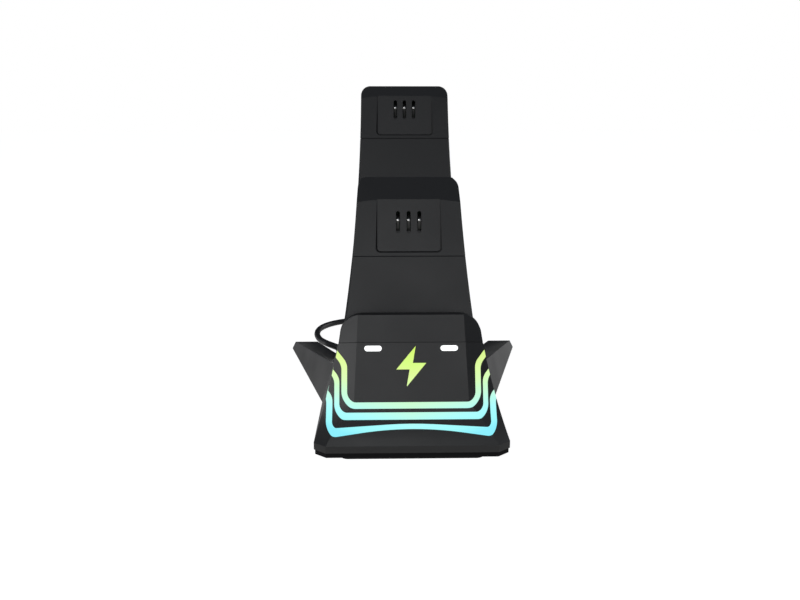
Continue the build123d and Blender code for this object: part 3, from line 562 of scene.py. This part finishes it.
# %% Metal and board finishes
def drawn_metal(name, dark, light, roughness, grain_mm, stretch):
    material = empty_material(name)
    place = add(material, "ShaderNodeTexCoord", {}).outputs["Object"]
    long = add(material, "ShaderNodeMapping", {"Vector": place, "Scale": stretch})
    grain = add(material, "ShaderNodeTexNoise", {
        "Vector": long.outputs["Vector"], "Scale": per_mm(grain_mm)})
    colour = add(material, "ShaderNodeValToRGB", {"Fac": grain.outputs["Fac"]})
    colour.color_ramp.elements[0].color = linear(dark)
    colour.color_ramp.elements[1].color = linear(light)
    gloss = add(material, "ShaderNodeMapRange", {
        "Value": grain.outputs["Fac"], "To Min": roughness - 0.06, "To Max": roughness + 0.08})
    return finish_material(material, {
        "Base Color": colour.outputs["Color"], "Metallic": 1.0, "Roughness": gloss.outputs["Result"]})


def circuit_board():
    material = empty_material("green_lacquered_board")
    place = add(material, "ShaderNodeTexCoord", {}).outputs["Object"]
    runs = add(material, "ShaderNodeTexBrick", {
        "Vector": place, "Scale": 1.0, "Color1": linear("#0a2416"), "Color2": linear("#0c2a1a"),
        "Mortar": linear("#1b4a2f"), "Brick Width": 6.0 * MM, "Row Height": 2.2 * MM,
        "Mortar Size": 0.25 * MM})
    bump = add(material, "ShaderNodeBump", {
        "Height": runs.outputs["Fac"], "Strength": 0.3, "Distance": 0.03 * MM})
    return finish_material(material, {
        "Base Color": runs.outputs["Color"], "Roughness": 0.3, "IOR": 1.52,
        "Normal": bump.outputs["Normal"]})


contact_metal = drawn_metal("dull_spring_strip", "#585856", "#747472", 0.42, 0.2, (1, 8, 8))
tip_metal = drawn_metal("polished_nickel_tip", "#e6e4df", "#f6f5f2", 0.14, 0.2, (1, 1, 1))
plug_steel = drawn_metal("plain_plug_steel", "#b4b4b6", "#d2d2d4", 0.28, 0.3, (8, 1, 8))
screw_zinc = drawn_metal("zinc_plated_screw", "#8f9093", "#b6b7ba", 0.35, 0.3, (1, 1, 1))
board_green = circuit_board()

# %% [markdown]
# ## Dressing the solids
# Each solid keeps its place and shape and only gets a finish. The record names a slot for every node,
# so a short table from slot to finish dresses them all, and the new pieces are dressed by name.

# %% Put the finishes on
finish_of_slot = {
    "shell_plastic": shell_abs, "plate_plastic": plate_abs, "light_upper": guide, "light_middle": guide,
    "light_lower": guide, "light_white": status_lens, "board": board_green, "lamp": lamp_lens,
    "carrier_plastic": insulator, "contact_metal": contact_metal, "foot_rubber": rubber,
    "screw_steel": screw_zinc, "cable_jacket": jacket, "plug_plastic": grip_plastic,
    "plug_steel": plug_steel, "tongue_plastic": tongue_plastic}
slot_of_node = {row["node"]: row["material_slot"] for row in frame["record"]["subparts"]}
for name, node in nodes.items():
    node.data.materials.clear()
    node.data.materials.append(finish_of_slot[slot_of_node[name]])
new_pieces = [(cable, jacket), (strain_relief, jacket), (plug_grip, grip_plastic), (coil_tie, strap)]
new_pieces += [(tip, tip_metal) for tip in contact_tips]
for piece, finish in new_pieces:
    piece.data.materials.append(finish)
print("dressed", len(nodes), "nodes and", len(new_pieces), "pieces")

# %% [markdown]
# ## Studio
# The photograph has a pure white ground and soft light, stronger from the left. A wide pale floor and a
# white sky stand for the ground. The floor and the sky that light the dock are dimmer than those the
# camera sees, and dark far away and at the back, so that the black plastic stays black and the tops of
# the legs, which mirror the back of the studio, stay darker than their sides. Large soft lights make the
# sheen on the leaning faces. Two more are flagged off, as a photographer would do it with black card:
# one lightens the skirt and leaves the bevels of the towers dark, the other shows the rear tower's back.

# %% Floor, sky and lights
def soft_light(name, place_mm, target_mm, size_mm, watts):
    data = bpy.data.lights.new(name, "AREA")
    data.shape = "RECTANGLE"
    data.size, data.size_y = (v * MM for v in size_mm)
    data.energy = watts
    light = bpy.data.objects.new(name, data)
    light.location = [v * MM for v in place_mm]
    way = np.array(target_mm, float) - np.array(place_mm, float)
    flat = math.hypot(way[0], way[1])
    light.rotation_euler = (math.atan2(flat, -way[2]), 0, math.atan2(way[1], way[0]) - math.pi / 2)
    bpy.context.scene.collection.objects.link(light)
    print("light", name, watts, "W")
    return light


soft_light("key_left", (-900, -700, 500), (0, 0, 60), (900, 700), 5)
soft_light("fill_front", (0, -1200, 420), (0, 0, 50), (900, 500), 2)
soft_light("side_right", (1000, 700, 350), (0, 20, 40), (700, 500), 3)
low_back = soft_light("low_back", (-300, 1300, 70), (0, 60, 60), (900, 100), 5)
over_base = soft_light("over_base", (-60, -60, 1200), (0, -70, 10), (700, 400), 1.3)
back_nodes = ("rear_tower_shell", "rear_cap", "rear_cover")
for light, lit_nodes in ((over_base, ("base_housing",)), (low_back, back_nodes)):
    flagged = bpy.data.collections.new(light.name + "_only")
    for name in lit_nodes:
        flagged.objects.link(nodes[name])
    light.light_linking.receiver_collection = flagged

floor_half = 6.0
floor_mesh = bpy.data.meshes.new("floor")
corners = np.array([(-1, -1), (1, -1), (1, 1), (-1, 1)]) * floor_half
floor_mesh.from_pydata(np.column_stack((corners, np.zeros(4))).tolist(), [], [(0, 1, 2, 3)])
floor = bpy.data.objects.new("floor", floor_mesh)
bpy.context.scene.collection.objects.link(floor)
paper = empty_material("pale_paper")
spot = add(paper, "ShaderNodeTexCoord", {}).outputs["Object"]
away = add(paper, "ShaderNodeVectorMath", {0: spot}, operation="LENGTH")
glow = add(paper, "ShaderNodeMapRange", {
    "Value": away.outputs["Value"], "From Min": 200 * MM, "From Max": 600 * MM,
    "To Min": 0.4, "To Max": 0.03})
paper_faces = (("#9c9c9c", 0.94), ("#606060", glow.outputs["Result"]))
shown, thrown = (add(paper, "ShaderNodeBsdfPrincipled", {
    "Base Color": linear(colour), "Roughness": 0.9, "Emission Color": linear("#ffffff"),
    "Emission Strength": strength}) for colour, strength in paper_faces)
ray = add(paper, "ShaderNodeLightPath", {})
either = add(paper, "ShaderNodeMixShader", {
    0: ray.outputs["Is Camera Ray"], 1: thrown.outputs["BSDF"], 2: shown.outputs["BSDF"]})
add(paper, "ShaderNodeOutputMaterial", {"Surface": either.outputs["Shader"]})
floor_mesh.materials.append(paper)

world = bpy.data.worlds.new("white_studio")
bpy.context.scene.world = world
world.use_nodes = True
world.node_tree.nodes.clear()
seen = add(world, "ShaderNodeBackground", {"Color": linear("#ffffff"), "Strength": 1.0})
direction = add(world, "ShaderNodeTexCoord", {}).outputs["Generated"]
backward = add(world, "ShaderNodeSeparateXYZ", {"Vector": direction})
dimmed = add(world, "ShaderNodeMapRange", {
    "Value": backward.outputs["Y"], "From Min": 0.3, "From Max": 0.9, "To Min": 0.23, "To Max": 0.04})
lighting = add(world, "ShaderNodeBackground", {
    "Color": linear("#e9f1ff"), "Strength": dimmed.outputs["Result"]})
path = add(world, "ShaderNodeLightPath", {})
sky = add(world, "ShaderNodeMixShader", {
    0: path.outputs["Is Camera Ray"], 1: lighting.outputs["Background"], 2: seen.outputs["Background"]})
add(world, "ShaderNodeOutputWorld", {"Surface": sky.outputs["Shader"]})
bpy.context.scene.view_settings.view_transform = "Standard"
print("studio ready")
